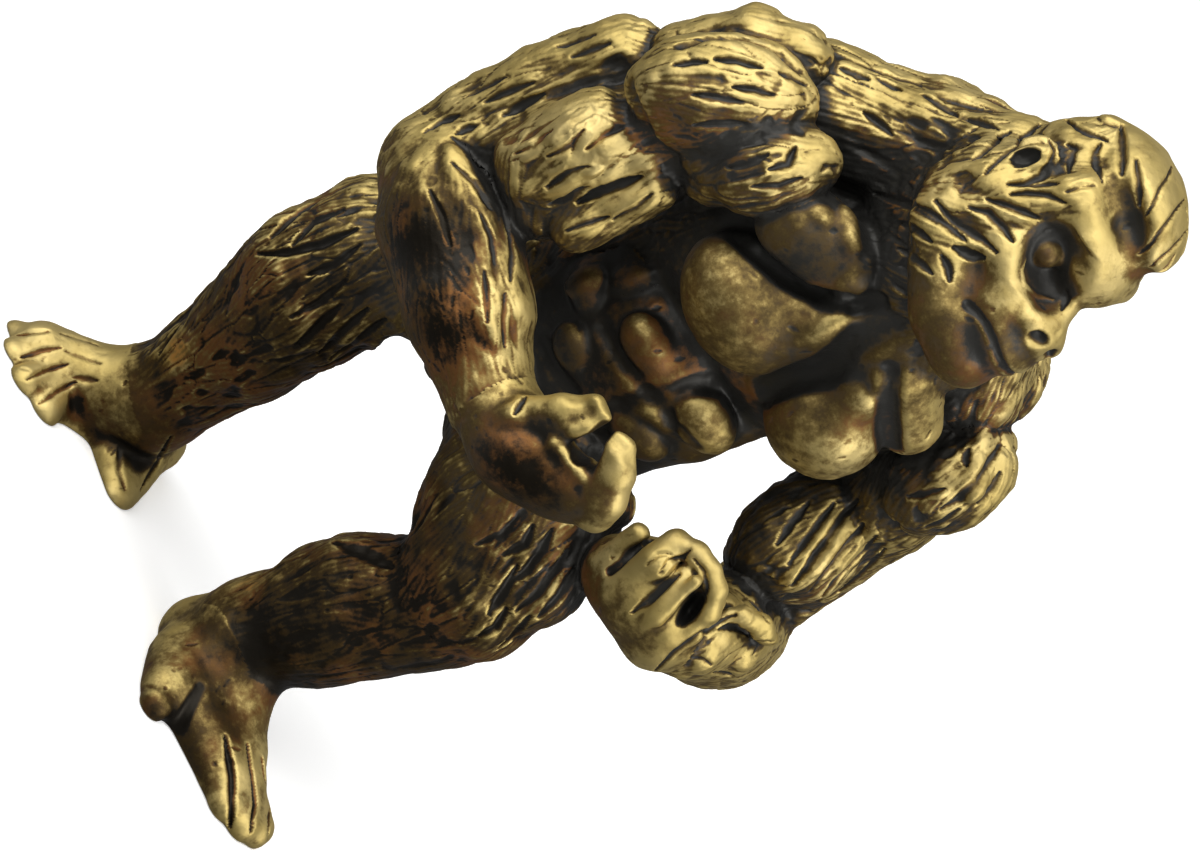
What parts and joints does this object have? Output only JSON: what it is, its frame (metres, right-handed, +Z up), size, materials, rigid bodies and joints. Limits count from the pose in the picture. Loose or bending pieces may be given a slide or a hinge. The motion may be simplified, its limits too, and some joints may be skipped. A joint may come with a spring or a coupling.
{
  "type": "gorilla figurine",
  "caption": "Small solid brass desk figurine of a standing muscular gorilla with fists drawn together in front of its belly, one leg forward, antique patina in the fur.",
  "frame": {"origin": "on the ground under the middle of the figure's bounding box", "axes": "+Z up through the standing figure, -Y towards its front, +X towards its own left side"},
  "size_m": [0.0398, 0.0332, 0.0657],
  "materials": {
    "fur_brass": "antique: dark patina in the fur grooves and creases, rubbed bright on the high points",
    "skin_brass": "antique: rubbed satin gold on the smooth hands and feet, dark between fingers and toes"
  },
  "bodies": {
    "root": {"pelvis": "fur_brass", "torso": "fur_brass", "head": "fur_brass", "right_upper_arm": "fur_brass", "right_forearm": "fur_brass", "right_fist": "skin_brass", "left_upper_arm": "fur_brass", "left_forearm": "fur_brass", "left_fist": "skin_brass", "right_thigh": "fur_brass", "right_shin": "fur_brass", "right_foot": "skin_brass", "left_thigh": "fur_brass", "left_shin": "fur_brass", "left_foot": "skin_brass"}
  },
  "joints": []
}
